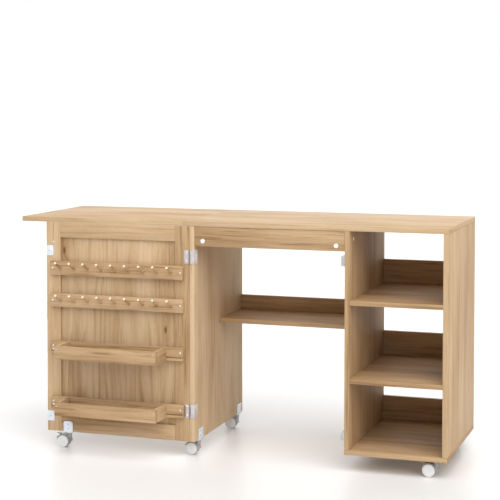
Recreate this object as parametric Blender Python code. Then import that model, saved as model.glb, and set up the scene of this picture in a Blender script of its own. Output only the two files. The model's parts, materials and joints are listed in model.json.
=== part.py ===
"""Folding sewing table on casters.

The cabinet has an open shelf column on the right and a kneehole bay on the left.
A framed door swings out of the bay to carry the drop leaf, and has peg racks and
thread trays on its inner face.

Design frame, in metres: X = 0 is the outer face of the left side panel, Y = 0 the
cabinet's front plane and Z = 0 the underside of the panels. The empty "table"
moves all of it so that the world origin is centred on the floor under the table.
"""

import math

import bmesh
import bpy
from mathutils import Matrix, Vector

# Boards
GAP = 0.0003  # clearance between neighbouring pieces
PANEL = 0.016  # side panels, worktop and leaf
BOARD = 0.015  # partition, shelves, backs and apron
DEPTH = 0.473
PANEL_HEIGHT = 0.700
TOP_LEFT, TOP_RIGHT = -0.022, 0.8387
LEAF_LENGTH = 0.577
COLUMN_LEFT = 0.5145
SHELF_TOPS = {"lower": 0.239, "upper": 0.484}
BACK_HEIGHT = 0.079
APRON_BOTTOM, APRON_SETBACK = 0.636, 0.002
BAY_SHELF_TOP, BAY_SHELF_FRONT, BAY_BACK_HEIGHT = 0.369, 0.235, 0.049

# Door, stored open at 180 degrees with its inner face in the front plane
DOOR_WIDTH, DOOR_HEIGHT, DOOR_THICK = 0.5097, 0.6994, 0.018
DOOR_EDGE_GAP = 0.0005
FRAME_WIDTH = 0.050
PANEL_FRONT, PANEL_THICK, GROOVE_DEPTH = 0.008, 0.004, 0.008
RATTAN_FRONT, RATTAN_THICK = 0.0135, 0.002
TOP_BEVEL_FROM, TOP_BEVEL_DROP = 0.0005, 0.0085

# Racks and trays on the door
STRIP_LEFT, STRIP_RIGHT, STRIP_THICK = -0.491, -0.019, 0.014
RACK_BOTTOMS, RACK_HEIGHTS = (0.526, 0.420), (0.045, 0.043)
PEG_COUNT, PEG_PITCH, PEG_RADIUS, PEG_LENGTH, PEG_TILT = 9, 0.0492, 0.0045, 0.046, 27
TRAY_BOTTOMS, TRAY_HEIGHT = {"upper": 0.263, "lower": 0.077}, 0.042
TRAY_LEFT, TRAY_RIGHT, TRAY_FRONT, TRAY_WALL = -0.433, -0.076, -0.105, 0.0125
TRAY_GROOVE_UP, TRAY_GROOVE_DEPTH, TRAY_FLOOR = 0.0085, 0.005, 0.004

# Hinges, all with the same barrel: its axis stands off the boards' faces
HINGE_OFFSET, BARREL_RADIUS, PIN_RADIUS, BORE_RADIUS = 0.0025, 0.0022, 0.0010, 0.00125
HINGE_HEIGHT, PLATE_THICK, PLATE_NEAR, PLATE_FAR = 0.044, 0.0012, 0.0028, 0.0180
KNUCKLE_ENDS = (0.013, 0.031)
DOOR_HINGE_CENTRES = {"lower": 0.0998, "upper": 0.6005}
LEAF_HINGE_CENTRES = {"front": 0.095, "rear": 0.378}

# Knob and magnetic catches
KNOB_X, KNOB_Z = -0.485, 0.6325
CATCH_DEPTH, CATCH_FRONT, CATCH_LENGTH = 0.0105, -0.0034, 0.036
CATCHES = {"lower": (0.045, 0.070), "upper": (0.590, 0.622)}

# Casters: swivel axis at the local origin, local z = 0 where they are mounted
WHEEL_RADIUS, WHEEL_TRAIL, WHEEL_DROP = 0.020, 0.020, 0.033
AXLE_RADIUS, HOOD_RADIUS, HOOD_WALL, HOOD_HALF_WIDTH = 0.003, 0.0235, 0.002, 0.0150
STEM_RADIUS, SOCKET_RADIUS, BOSS_RADIUS, BOSS_DROP = 0.0040, 0.0044, 0.0090, 0.0050
BRACKET_THICK = 0.0024
LEVER_PIVOT, LEVER_RADIUS, LEVER_HALF_WIDTH, LEVER_LENGTH = (-0.0335, -0.0105), 0.0020, 0.0042, 0.011
FLOOR = -(WHEEL_DROP + WHEEL_RADIUS)
CASTERS = {
    "door": (-0.434, 0.009),
    "side_front": (0.008, 0.055),
    "side_rear": (0.008, 0.435),
    "column_front": (0.797, 0.034),
    "column_rear": (0.797, 0.439),
}
BRAKED = ("door", "side_front", "column_front")

ROUND = 24
LEAF_LEFT = TOP_LEFT - LEAF_LENGTH
DOOR_AXIS = Vector((0, -HINGE_OFFSET, 0))
LEAF_AXIS = Vector((TOP_LEFT, 0, PANEL_HEIGHT - HINGE_OFFSET))
ORIGIN = Vector(((LEAF_LEFT + TOP_RIGHT) / 2, (TRAY_FRONT + DEPTH) / 2, FLOOR))


# Scene, materials and placing ------------------------------------------------


def clear_scene():
    for obj in list(bpy.data.objects):
        bpy.data.objects.remove(obj)


def material(name, color, roughness, metallic=0.0):
    made = bpy.data.materials.new(name)
    made.use_nodes = True
    surface = made.node_tree.nodes["Principled BSDF"]
    surface.inputs["Base Color"].default_value = (*color, 1)
    surface.inputs["Roughness"].default_value = roughness
    surface.inputs["Metallic"].default_value = metallic
    made.diffuse_color = (*color, 1)
    return made


def pivot(name, at, parent=None):
    """An empty on a joint's axis, placed in the design frame."""
    empty = bpy.data.objects.new(name, None)
    empty.empty_display_size = 0.05
    bpy.context.scene.collection.objects.link(empty)
    empty["at"] = tuple(at)
    empty.parent = parent
    empty.location = Vector(at) - (Vector(parent["at"]) if parent else Vector())
    return empty


def place(name, mesh, surface, parent, at=None):
    """Turns a bmesh drawn in the design frame into an object whose origin is at "at"."""
    if at is None:
        low = [min(v.co[i] for v in mesh.verts) for i in range(3)]
        high = [max(v.co[i] for v in mesh.verts) for i in range(3)]
        at = (Vector(low) + Vector(high)) / 2
    at = Vector(at)
    bmesh.ops.translate(mesh, verts=mesh.verts, vec=-at)
    bmesh.ops.recalc_face_normals(mesh, faces=mesh.faces)
    data = bpy.data.meshes.new(name)
    mesh.to_mesh(data)
    mesh.free()
    data.shade_smooth()
    data.set_sharp_from_angle(angle=math.radians(35))
    data.materials.append(surface)
    obj = bpy.data.objects.new(name, data)
    bpy.context.scene.collection.objects.link(obj)
    obj.parent = parent
    obj.location = at - Vector(parent["at"])
    return obj


def combine(target, operation, shapes, surface):
    """Adds Boolean modifiers that join shapes to the target, or cut them from it."""
    for number, shape in enumerate(shapes):
        parent = target.parent
        tool = place(f"{target.name}.{operation.lower()}.{number}", shape, surface, parent)
        tool.hide_render = True
        tool.display_type = "WIRE"
        step = target.modifiers.new(tool.name, "BOOLEAN")
        step.operation = operation
        step.solver = "EXACT"
        step.object = tool
    return target


# Shapes, as bmeshes in the design frame -----------------------------------------


def box(x, y, z):
    mesh = bmesh.new()
    bmesh.ops.create_cube(mesh, size=1)
    for vert in mesh.verts:
        for i, (low, high) in enumerate((x, y, z)):
            vert.co[i] = low if vert.co[i] < 0 else high
    return mesh


def prism(outline, axis, span):
    """An outline drawn in the two other axes, in X, Y, Z order, extruded along one axis."""
    mesh = bmesh.new()
    along = "XYZ".index(axis)
    low, high = span
    verts = []
    for point in outline:
        co = list(point)
        co.insert(along, low)
        verts.append(mesh.verts.new(co))
    face = mesh.faces.new(verts)
    extruded = bmesh.ops.extrude_face_region(mesh, geom=[face])
    moved = [g for g in extruded["geom"] if isinstance(g, bmesh.types.BMVert)]
    shift = Vector()
    shift[along] = high - low
    bmesh.ops.translate(mesh, verts=moved, vec=shift)
    return mesh


def arc(centre, radius, start, end, steps):
    """Points on a circle arc, from the start angle to the end angle, in degrees."""
    angles = [math.radians(start + (end - start) * i / steps) for i in range(steps + 1)]
    return [(centre[0] + radius * math.cos(a), centre[1] + radius * math.sin(a)) for a in angles]


def disc(centre, radius, axis, span, steps=ROUND):
    return prism(arc(centre, radius, 0, 360, steps)[:-1], axis, span)


def lathe(profile, steps=ROUND):
    """A closed solid turned about local Z from (radius, height) points that start and end on the axis."""
    mesh = bmesh.new()
    verts = [mesh.verts.new((radius, 0, height)) for radius, height in profile]
    edges = [mesh.edges.new(pair) for pair in zip(verts, verts[1:])]
    bmesh.ops.spin(mesh, geom=verts + edges, cent=(0, 0, 0), axis=(0, 0, 1), angle=math.tau, steps=steps, use_merge=True)
    bmesh.ops.remove_doubles(mesh, verts=mesh.verts, dist=1e-6)
    return mesh


def moved(mesh, matrix):
    bmesh.ops.transform(mesh, matrix=matrix, verts=mesh.verts)
    return mesh


# Cabinet --------------------------------------------------------------------------


def build_cabinet(table, oak):
    left_inner = (PANEL + GAP, COLUMN_LEFT - GAP)
    column_inner = (COLUMN_LEFT + BOARD + GAP, TOP_RIGHT - PANEL - GAP)
    rear = (DEPTH - BOARD, DEPTH)
    full_depth = (0, DEPTH)
    panel_top = PANEL_HEIGHT - GAP
    top = (PANEL_HEIGHT, PANEL_HEIGHT + PANEL)
    on_base = (BOARD + GAP, panel_top)

    boards = {
        "worktop": ((TOP_LEFT + GAP, TOP_RIGHT), full_depth, top),
        "side_panel": ((0, PANEL), full_depth, (0, panel_top)),
        "partition": ((COLUMN_LEFT, COLUMN_LEFT + BOARD), full_depth, on_base),
        "right_panel": ((TOP_RIGHT - PANEL, TOP_RIGHT), full_depth, on_base),
        "apron": (left_inner, (APRON_SETBACK, APRON_SETBACK + BOARD), (APRON_BOTTOM, panel_top)),
        "bay_shelf": (left_inner, (BAY_SHELF_FRONT, DEPTH), (BAY_SHELF_TOP - BOARD, BAY_SHELF_TOP)),
        "bay_shelf_back": (left_inner, rear, (BAY_SHELF_TOP + GAP, BAY_SHELF_TOP + BAY_BACK_HEIGHT)),
        "column_back_bottom": (column_inner, rear, (BOARD + GAP, BOARD + BACK_HEIGHT)),
    }
    for level, height in SHELF_TOPS.items():
        boards[f"column_shelf_{level}"] = (column_inner, full_depth, (height - BOARD, height))
        boards[f"column_back_{level}"] = (column_inner, rear, (height + GAP, height + BACK_HEIGHT))
    for name, spans in boards.items():
        place(name, box(*spans), oak, table)

    base = place("bottom_board", box((COLUMN_LEFT, TOP_RIGHT), full_depth, (0, BOARD)), oak, table)
    sockets = [
        disc(CASTERS[name], SOCKET_RADIUS, "Z", (-0.005, 0.010), 16)
        for name in ("column_front", "column_rear")
    ]
    combine(base, "DIFFERENCE", sockets, oak)


def build_catches(table, plastic):
    """Magnetic catches on the partition, which hold the door when it is folded in."""
    side = (COLUMN_LEFT - GAP - CATCH_DEPTH, COLUMN_LEFT - GAP)
    for level, height in CATCHES.items():
        shape = box(side, (CATCH_FRONT, CATCH_FRONT + CATCH_LENGTH), height)
        catch = place(f"catch_{level}", shape, plastic, table)
        soften = catch.modifiers.new("soften", "BEVEL")
        soften.width = 0.0012
        soften.segments = 2


# Door -----------------------------------------------------------------------------


def build_door(door, oak, rattan):
    hinge_edge, free_edge = -DOOR_EDGE_GAP, -DOOR_WIDTH
    inner_right, inner_left = hinge_edge - FRAME_WIDTH, free_edge + FRAME_WIDTH
    groove = (PANEL_FRONT - GAP, PANEL_FRONT + PANEL_THICK + GAP)
    bevel = [
        (TOP_BEVEL_FROM, DOOR_HEIGHT),
        (DOOR_THICK, DOOR_HEIGHT - TOP_BEVEL_DROP),
    ]
    slope = TOP_BEVEL_DROP / (DOOR_THICK - TOP_BEVEL_FROM)

    # Stiles: a plank with a groove on its inner edge and the top's outer edge bevelled,
    # so that the leaf above can start to drop while the door swings out from under it
    for name, edge, inside in (("hinge", hinge_edge, inner_right), ("free", free_edge, inner_left)):
        into = inside + math.copysign(GROOVE_DEPTH, edge - inside)
        outline = [
            (edge, 0), (inside, 0), (inside, groove[0]), (into, groove[0]),
            (into, groove[1]), (inside, groove[1]), (inside, DOOR_THICK), (edge, DOOR_THICK),
        ]
        stile = place(f"door_stile_{name}", prism(outline, "Z", (0, DOOR_HEIGHT)), oak, door)
        wedge = [
            bevel[0],
            (DOOR_THICK + 0.005, bevel[1][1] - 0.005 * slope),
            (DOOR_THICK + 0.005, DOOR_HEIGHT + 0.005),
            (TOP_BEVEL_FROM, DOOR_HEIGHT + 0.005),
        ]
        across = (min(edge, inside) - 0.01, max(edge, inside) + 0.01)
        combine(stile, "DIFFERENCE", [prism(wedge, "X", across)], oak)

    # Rails: grooved like the stiles, with a stub tenon at each end
    across = (inner_left + GAP, inner_right - GAP)
    tenoned = (inner_left - GROOVE_DEPTH + GAP, inner_right + GROOVE_DEPTH - GAP)
    tenon_y = (PANEL_FRONT, PANEL_FRONT + PANEL_THICK)
    low, high = FRAME_WIDTH, DOOR_HEIGHT - FRAME_WIDTH
    bottom = [
        (0, 0), (DOOR_THICK, 0), (DOOR_THICK, low), (groove[1], low), (groove[1], low - GROOVE_DEPTH),
        (groove[0], low - GROOVE_DEPTH), (groove[0], low), (0, low),
    ]
    top = [
        (0, high), (groove[0], high), (groove[0], high + GROOVE_DEPTH), (groove[1], high + GROOVE_DEPTH),
        (groove[1], high), (DOOR_THICK, high), bevel[1], bevel[0], (0, DOOR_HEIGHT),
    ]
    tenon_z = {
        "bottom": (0.002, low - GROOVE_DEPTH - 2 * GAP),
        "top": (high + GROOVE_DEPTH + 2 * GAP, DOOR_HEIGHT - TOP_BEVEL_DROP - 0.001),
    }
    for name, outline in (("bottom", bottom), ("top", top)):
        rail = place(f"door_rail_{name}", prism(outline, "X", across), oak, door)
        combine(rail, "UNION", [box(tenoned, tenon_y, tenon_z[name])], oak)

    reach = GROOVE_DEPTH - 2 * GAP
    panel = box((inner_left - reach, inner_right + reach), tenon_y, (low - reach, high + reach))
    place("door_panel", panel, oak, door)
    weave = box(across, (RATTAN_FRONT, RATTAN_FRONT + RATTAN_THICK), (low + GAP, high - GAP))
    place("rattan_panel", weave, rattan, door)


def build_racks(door, oak):
    middle = (STRIP_LEFT + STRIP_RIGHT) / 2
    face = -GAP - STRIP_THICK
    tilt = math.radians(PEG_TILT)
    for name, bottom, height in zip(("upper", "lower"), RACK_BOTTOMS, RACK_HEIGHTS):
        strip = box((STRIP_LEFT, STRIP_RIGHT), (face, -GAP), (bottom, bottom + height))
        rack = place(f"peg_rack_{name}", strip, oak, door)
        pegs = bmesh.new()
        for number in range(PEG_COUNT):
            x = middle + (number - (PEG_COUNT - 1) / 2) * PEG_PITCH
            root = Matrix.Translation((x, face, bottom + height / 2))
            aim = root @ Matrix.Rotation(math.pi / 2 - tilt, 4, "X")
            bmesh.ops.create_cone(
                pegs, cap_ends=True, segments=10, radius1=PEG_RADIUS, radius2=PEG_RADIUS,
                depth=PEG_LENGTH + 0.006, matrix=aim @ Matrix.Translation((0, 0, PEG_LENGTH / 2 - 0.003)),
            )
        combine(rack, "UNION", [pegs], oak)


def build_trays(door, oak):
    face = -GAP - STRIP_THICK
    inner = (TRAY_LEFT + TRAY_WALL, TRAY_RIGHT - TRAY_WALL)
    front_back = TRAY_FRONT + TRAY_WALL
    depth = TRAY_GROOVE_DEPTH
    for level, bottom in TRAY_BOTTOMS.items():
        top = bottom + TRAY_HEIGHT
        slot = (bottom + TRAY_GROOVE_UP, bottom + TRAY_GROOVE_UP + TRAY_FLOOR + 2 * GAP)
        back = [
            (-GAP, bottom), (-GAP, top), (face, top), (face, slot[1]),
            (face + depth, slot[1]), (face + depth, slot[0]), (face, slot[0]), (face, bottom),
        ]
        place(f"tray_{level}_back", prism(back, "X", (STRIP_LEFT, STRIP_RIGHT)), oak, door)

        board = box((TRAY_LEFT, TRAY_RIGHT), (TRAY_FRONT, front_back), (bottom, top))
        front = place(f"tray_{level}_front", board, oak, door)
        groove = box((inner[0] - depth, inner[1] + depth), (front_back - depth, front_back + 0.002), slot)
        combine(front, "DIFFERENCE", [groove], oak)

        for side, outer, inside in (("left", TRAY_LEFT, inner[0]), ("right", TRAY_RIGHT, inner[1])):
            into = inside + math.copysign(depth, outer - inside)
            outline = [
                (outer, bottom), (inside, bottom), (inside, slot[0]), (into, slot[0]),
                (into, slot[1]), (inside, slot[1]), (inside, top), (outer, top),
            ]
            wall = prism(outline, "Y", (front_back + GAP, face - GAP))
            place(f"tray_{level}_{side}", wall, oak, door)

        reach = depth - GAP
        floor = box(
            (inner[0] - reach, inner[1] + reach),
            (front_back - reach, face + reach),
            (slot[0] + GAP, slot[0] + GAP + TRAY_FLOOR),
        )
        place(f"tray_{level}_floor", floor, oak, door)


def build_knob(door, plastic):
    profile = [
        (0, 0), (0.0090, 0), (0.0090, 0.0020), (0.0062, 0.0045), (0.0062, 0.0090),
        (0.0125, 0.0140), (0.0140, 0.0170), (0.0140, 0.0190), (0.0125, 0.0210), (0, 0.0216),
    ]
    at = Vector((KNOB_X, DOOR_THICK + GAP, KNOB_Z))
    turn = Matrix.Translation(at) @ Matrix.Rotation(-math.pi / 2, 4, "X")
    place("door_knob", moved(lathe(profile), turn), plastic, door, at)


# Hinges ---------------------------------------------------------------------------
# Drawn about local Z, with the boards' faces at y = HINGE_OFFSET: the fixed plate
# is on the +X side with the two end knuckles, the moving plate on the -X side with
# the middle knuckle and the pin.


def moving_plate():
    plate_y = (HINGE_OFFSET - GAP - PLATE_THICK, HINGE_OFFSET - GAP)
    knuckle = (KNUCKLE_ENDS[0] + 2 * GAP, KNUCKLE_ENDS[1] - 2 * GAP)
    plate = box((-PLATE_FAR, -PLATE_NEAR), plate_y, (0, HINGE_HEIGHT))
    tab = box((-PLATE_NEAR - 0.001, -0.0004), plate_y, knuckle)
    barrel = disc((0, 0), BARREL_RADIUS, "Z", knuckle, 12)
    pin = disc((0, 0), PIN_RADIUS, "Z", (0.001, HINGE_HEIGHT - 0.001), 12)
    return plate, [tab, barrel, pin], []


def fixed_plate(outline=None):
    """A flat plate, or one with another outline in X and Y, such as an angle round a panel's edge."""
    plate_y = (HINGE_OFFSET - GAP - PLATE_THICK, HINGE_OFFSET - GAP)
    outline = outline or [
        (PLATE_NEAR, plate_y[0]), (PLATE_FAR, plate_y[0]), (PLATE_FAR, plate_y[1]), (PLATE_NEAR, plate_y[1]),
    ]
    added, bores = [], []
    for knuckle in ((0, KNUCKLE_ENDS[0]), (KNUCKLE_ENDS[1], HINGE_HEIGHT)):
        added.append(box((0.0004, PLATE_NEAR + 0.001), plate_y, knuckle))
        added.append(disc((0, 0), BARREL_RADIUS, "Z", knuckle, 12))
        bores.append(disc((0, 0), BORE_RADIUS, "Z", (knuckle[0] - 0.001, knuckle[1] + 0.001), 12))
    return prism(outline, "Z", (0, HINGE_HEIGHT)), added, bores


def place_hinge_half(name, half, matrix, metal, parent):
    plate, added, bores = half
    at = matrix.translation
    obj = place(name, moved(plate, matrix), metal, parent, at)
    combine(obj, "UNION", [moved(shape, matrix) for shape in added], metal)
    return combine(obj, "DIFFERENCE", [moved(shape, matrix) for shape in bores], metal)


def build_hinges(table, door, leaf, metal):
    near, far = HINGE_OFFSET - GAP - PLATE_THICK, HINGE_OFFSET - GAP
    inside = PANEL + GAP
    angle = [
        (PLATE_NEAR, near), (inside + PLATE_THICK, near), (inside + PLATE_THICK, 0.0255),
        (inside, 0.0255), (inside, far), (PLATE_NEAR, far),
    ]
    for level, height in DOOR_HINGE_CENTRES.items():
        matrix = Matrix.Translation(DOOR_AXIS + Vector((0, 0, height - HINGE_HEIGHT / 2)))
        place_hinge_half(f"door_hinge_{level}_fixed", fixed_plate(angle), matrix, metal, table)
        place_hinge_half(f"door_hinge_{level}_moving", moving_plate(), matrix, metal, door)
    upward = Matrix.Rotation(math.pi / 2, 4, "X")
    for end, centre in LEAF_HINGE_CENTRES.items():
        matrix = Matrix.Translation(LEAF_AXIS + Vector((0, centre + HINGE_HEIGHT / 2, 0))) @ upward
        place_hinge_half(f"leaf_hinge_{end}_fixed", fixed_plate(), matrix, metal, table)
        place_hinge_half(f"leaf_hinge_{end}_moving", moving_plate(), matrix, metal, leaf)


# Casters --------------------------------------------------------------------------
# Drawn about the swivel axis, trailing towards -X.


def bent_plate(outline, axis, span, top, corner=0.006):
    """A bent strip of plate, extruded along one axis, with the corners of its upright ends rounded."""
    mesh = prism(outline, axis, span)
    along = "XYZ".index(axis)
    corners = [
        edge for edge in mesh.edges
        if all(abs(vert.co.z - top) < 1e-6 for vert in edge.verts)
        and abs(edge.verts[0].co[along] - edge.verts[1].co[along]) < 1e-6
    ]
    bmesh.ops.bevel(mesh, geom=corners, offset=corner, segments=4, profile=0.5, affect="EDGES")
    return mesh


def bracket_shape(name, x, y):
    """The bent plate that is screwed to the board, and the boss that the stem turns in."""
    below, under, top = -GAP - BRACKET_THICK, -GAP, 0.035
    if name == "door":
        front, rear = -GAP, DOOR_THICK + GAP
        outline = [
            (front - BRACKET_THICK, below), (rear + BRACKET_THICK, below), (rear + BRACKET_THICK, top), (rear, top),
            (rear, under), (front, under), (front, top), (front - BRACKET_THICK, top),
        ]
        plate = bent_plate(outline, "X", (x - 0.0165, x + 0.0165), top)
    else:
        side = PANEL + GAP
        outline = [
            (0.0005, below), (side + BRACKET_THICK, below), (side + BRACKET_THICK, top), (side, top),
            (side, under), (0.0005, under),
        ]
        plate = bent_plate(outline, "Y", (y - 0.020, y + 0.020), top)
    return plate, [disc((x, y), BOSS_RADIUS, "Z", (-BOSS_DROP, (below + under) / 2), 16)]


def hood_shape(stem_top, collar_top, with_lever):
    """Web, fender, stem and lever lugs; the web's bore is cut for the axle."""
    axle = (-WHEEL_TRAIL, -WHEEL_DROP)
    inner = HOOD_RADIUS - HOOD_WALL
    fender = prism(
        [*arc(axle, HOOD_RADIUS, -5, 158, 18), *arc(axle, inner, 158, -5, 18)],
        "Y", (-HOOD_HALF_WIDTH, HOOD_HALF_WIDTH),
    )
    web_edge = arc(axle, inner + HOOD_WALL / 2, -5, 158, 18)
    hub = arc(axle, 0.0075, 200, 310, 6)
    added = [
        prism([*web_edge, *hub], "Y", (-0.0024, 0.0024)),
        disc((0, 0), 0.0085, "Z", (-0.0150, collar_top), 16),
        disc((0, 0), STEM_RADIUS, "Z", (-0.0120, stem_top), 16),
    ]
    if with_lever:
        for side in (-1, 1):
            near, far = (LEVER_HALF_WIDTH + GAP) * side, (LEVER_HALF_WIDTH + 0.0022) * side
            outline = [(-0.0315, -0.0145), (-0.0250, -0.0105), *arc(LEVER_PIVOT, 0.0023, 60, 200, 5)]
            added.append(prism(outline, "Y", (min(near, far), max(near, far))))
    bore = disc(axle, AXLE_RADIUS + 0.0005, "Y", (-0.004, 0.004), 16)
    return fender, added, [bore]


def wheel_shape():
    """Twin wheels on one axle, turned as a dumbbell."""
    side = [(0.0185, 0.0140), (WHEEL_RADIUS, 0.0125), (WHEEL_RADIUS, 0.0047), (0.0185, 0.0033), (AXLE_RADIUS, 0.0033)]
    profile = [(0, -0.0140), *[(r, -h) for r, h in side], *[(r, h) for r, h in reversed(side)], (0, 0.0140)]
    return moved(lathe(profile), Matrix.Translation((-WHEEL_TRAIL, 0, -WHEEL_DROP)) @ Matrix.Rotation(math.pi / 2, 4, "X"))


def lever_shape():
    """A barrel between the hood's lugs with a foot tab that points outwards."""
    x, z = LEVER_PIVOT
    reach = math.radians(165)
    along = Vector((math.cos(reach), math.sin(reach)))
    across = Vector((-along.y, along.x)) * 0.0012
    base, tip = Vector((x, z)) + along * 0.0005, Vector((x, z)) + along * LEVER_LENGTH
    tab = prism([base - across, tip - across, tip + across, base + across], "Y", (-LEVER_HALF_WIDTH, LEVER_HALF_WIDTH))
    return disc(LEVER_PIVOT, LEVER_RADIUS, "Y", (-LEVER_HALF_WIDTH, LEVER_HALF_WIDTH), 12), [tab]


def build_casters(table, door, metal, plastic, tread):
    for name, (x, y) in CASTERS.items():
        parent = door if name == "door" else table
        at = Vector((x, y, 0))
        there = Matrix.Translation(at)
        bracketed = not name.startswith("column")
        if bracketed:
            flat, added = bracket_shape(name, x, y)
            bracket = place(f"caster_{name}_bracket", flat, metal, parent, at)
            combine(bracket, "UNION", added, metal)
            combine(bracket, "DIFFERENCE", [disc((x, y), SOCKET_RADIUS, "Z", (-0.008, -0.0013), 16)], metal)

        swivel = pivot(f"caster_{name}_swivel", at, parent)
        stem_top, collar_top = (-0.0019, -0.0054) if bracketed else (0.0085, -0.0008)
        fender, added, bores = hood_shape(stem_top, collar_top, name in BRAKED)
        hood = place(f"caster_{name}_hood", moved(fender, there), plastic, swivel, at)
        combine(hood, "UNION", [moved(shape, there) for shape in added], plastic)
        combine(hood, "DIFFERENCE", [moved(shape, there) for shape in bores], plastic)
        axle = at + Vector((-WHEEL_TRAIL, 0, -WHEEL_DROP))
        place(f"caster_{name}_wheels", moved(wheel_shape(), there), tread, swivel, axle)
        if name in BRAKED:
            barrel, added = lever_shape()
            hinge = at + Vector((LEVER_PIVOT[0], 0, LEVER_PIVOT[1]))
            lever = place(f"caster_{name}_lever", moved(barrel, there), plastic, swivel, hinge)
            combine(lever, "UNION", [moved(shape, there) for shape in added], plastic)


def main():
    clear_scene()
    oak = material("oak", (0.62, 0.41, 0.22), 0.55)
    rattan = material("rattan", (0.60, 0.46, 0.28), 0.8)
    metal = material("hinge_steel", (0.62, 0.60, 0.60), 0.3, 1.0)
    plastic = material("white_plastic", (0.85, 0.85, 0.85), 0.4)
    tread = material("caster_wheel", (0.72, 0.72, 0.73), 0.45)

    table = pivot("table", (0, 0, 0))
    door = pivot("door_axis", DOOR_AXIS, table)
    leaf = pivot("leaf_axis", LEAF_AXIS, table)

    build_cabinet(table, oak)
    build_catches(table, plastic)
    top = (PANEL_HEIGHT, PANEL_HEIGHT + PANEL)
    place("drop_leaf", box((LEAF_LEFT, TOP_LEFT - GAP), (0, DEPTH), top), oak, leaf)
    build_door(door, oak, rattan)
    build_racks(door, oak)
    build_trays(door, oak)
    build_knob(door, plastic)
    build_hinges(table, door, leaf, metal)
    build_casters(table, door, metal, plastic, tread)
    table.location = -ORIGIN


main()
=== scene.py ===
"""The looks of a folding sewing table on casters, modelled around its packed CAD frame."""

import json
import math
from contextlib import contextmanager

import bmesh
import bpy
from bpy.props import FloatProperty, FloatVectorProperty, IntProperty, PointerProperty
from bpy.types import Operator, Panel, PropertyGroup, Scene
from mathutils import Matrix, Vector

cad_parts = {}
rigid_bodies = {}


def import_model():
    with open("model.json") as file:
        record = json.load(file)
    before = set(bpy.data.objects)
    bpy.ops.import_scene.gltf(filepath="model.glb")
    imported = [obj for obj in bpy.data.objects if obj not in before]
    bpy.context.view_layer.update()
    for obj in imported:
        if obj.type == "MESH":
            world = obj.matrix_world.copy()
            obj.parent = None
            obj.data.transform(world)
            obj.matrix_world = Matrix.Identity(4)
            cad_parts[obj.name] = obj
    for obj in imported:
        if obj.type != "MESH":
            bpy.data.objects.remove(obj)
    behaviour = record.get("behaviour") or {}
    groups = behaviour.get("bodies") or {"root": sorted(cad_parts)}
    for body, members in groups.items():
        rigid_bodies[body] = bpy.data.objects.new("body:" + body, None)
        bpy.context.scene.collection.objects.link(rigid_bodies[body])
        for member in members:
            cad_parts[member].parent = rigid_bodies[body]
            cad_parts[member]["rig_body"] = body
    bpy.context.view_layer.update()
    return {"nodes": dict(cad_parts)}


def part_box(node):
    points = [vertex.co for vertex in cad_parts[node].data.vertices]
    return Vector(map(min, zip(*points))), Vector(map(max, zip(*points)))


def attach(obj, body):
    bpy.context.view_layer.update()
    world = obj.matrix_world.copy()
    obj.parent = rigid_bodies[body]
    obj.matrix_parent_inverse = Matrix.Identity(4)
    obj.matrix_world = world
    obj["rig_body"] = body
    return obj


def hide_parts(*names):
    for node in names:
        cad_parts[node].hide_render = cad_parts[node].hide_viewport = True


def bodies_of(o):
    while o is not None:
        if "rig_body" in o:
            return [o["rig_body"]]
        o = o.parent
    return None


bl_info = {
    "name": "Folding Sewing Table",
    "version": (1, 0, 0),
    "blender": (4, 5, 0),
    "location": "View3D > Sidebar > Sewing Table",
    "description": "Oak boards, woven door, fittings and casters of a folding sewing table",
    "category": "Object",
}

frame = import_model()

RIGHT, UP, DOWN = Vector((1, 0, 0)), Vector((0, 0, 1)), Vector((0, 0, -1))
FRONT, REAR = Vector((0, -1, 0)), Vector((0, 1, 0))
X, Y, Z = range(3)
MM = 0.001


# Settings ---------------------------------


def setting(kind, **fixed):
    """A kind of setting, which is then given its name, description and default."""

    def made(name, description, default):
        return kind(name=name, description=description, default=default, **fixed)

    return made


length = setting(FloatProperty, subtype="DISTANCE", unit="LENGTH")
amount = setting(FloatProperty)
angle = setting(FloatProperty, subtype="ANGLE")
count = setting(IntProperty, min=16, max=96)
spot = setting(FloatVectorProperty, size=3, subtype="TRANSLATION", unit="LENGTH")
direction = setting(FloatVectorProperty, size=3, subtype="DIRECTION")
colour = setting(FloatVectorProperty, size=3, min=0, max=1, subtype="COLOR")


class OakSettings(PropertyGroup):
    """The laminated boards."""

    pale: colour("Pale wood", "Colour between the growth rings", (0.63, 0.460, 0.290))
    middle: colour("Middle wood", "Colour that covers most of a board", (0.50, 0.336, 0.187))
    dark: colour("Dark wood", "Colour of the late growth rings", (0.30, 0.168, 0.074))
    knot: colour("Knot", "Colour at the heart of a knot", (0.13, 0.055, 0.022))
    sawn: colour("Sawn end", "Palest wood on the sawn ends of the pegs", (0.90, 0.80, 0.66))
    ring_width: length("Ring width", "Distance between growth rings on a face", 0.021)
    edge: length("Edge radius", "Radius of the boards' softened edges", 0.0004)
    relief: length("Relief", "Depth of the pores", 0.00018)


class WeaveSettings(PropertyGroup):
    """The woven panel on the outside of the door."""

    pitch: length("Pitch", "Distance between neighbouring strands", 0.0050)
    strand: length("Strand width", "Width of one strand", 0.0043)
    thick: length("Strand thickness", "Thickness of one strand", 0.0007)
    pale: colour("Pale strand", "Lightest strands", (0.63, 0.50, 0.345))
    dark: colour("Dark strand", "Darkest strands", (0.37, 0.265, 0.155))


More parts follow.
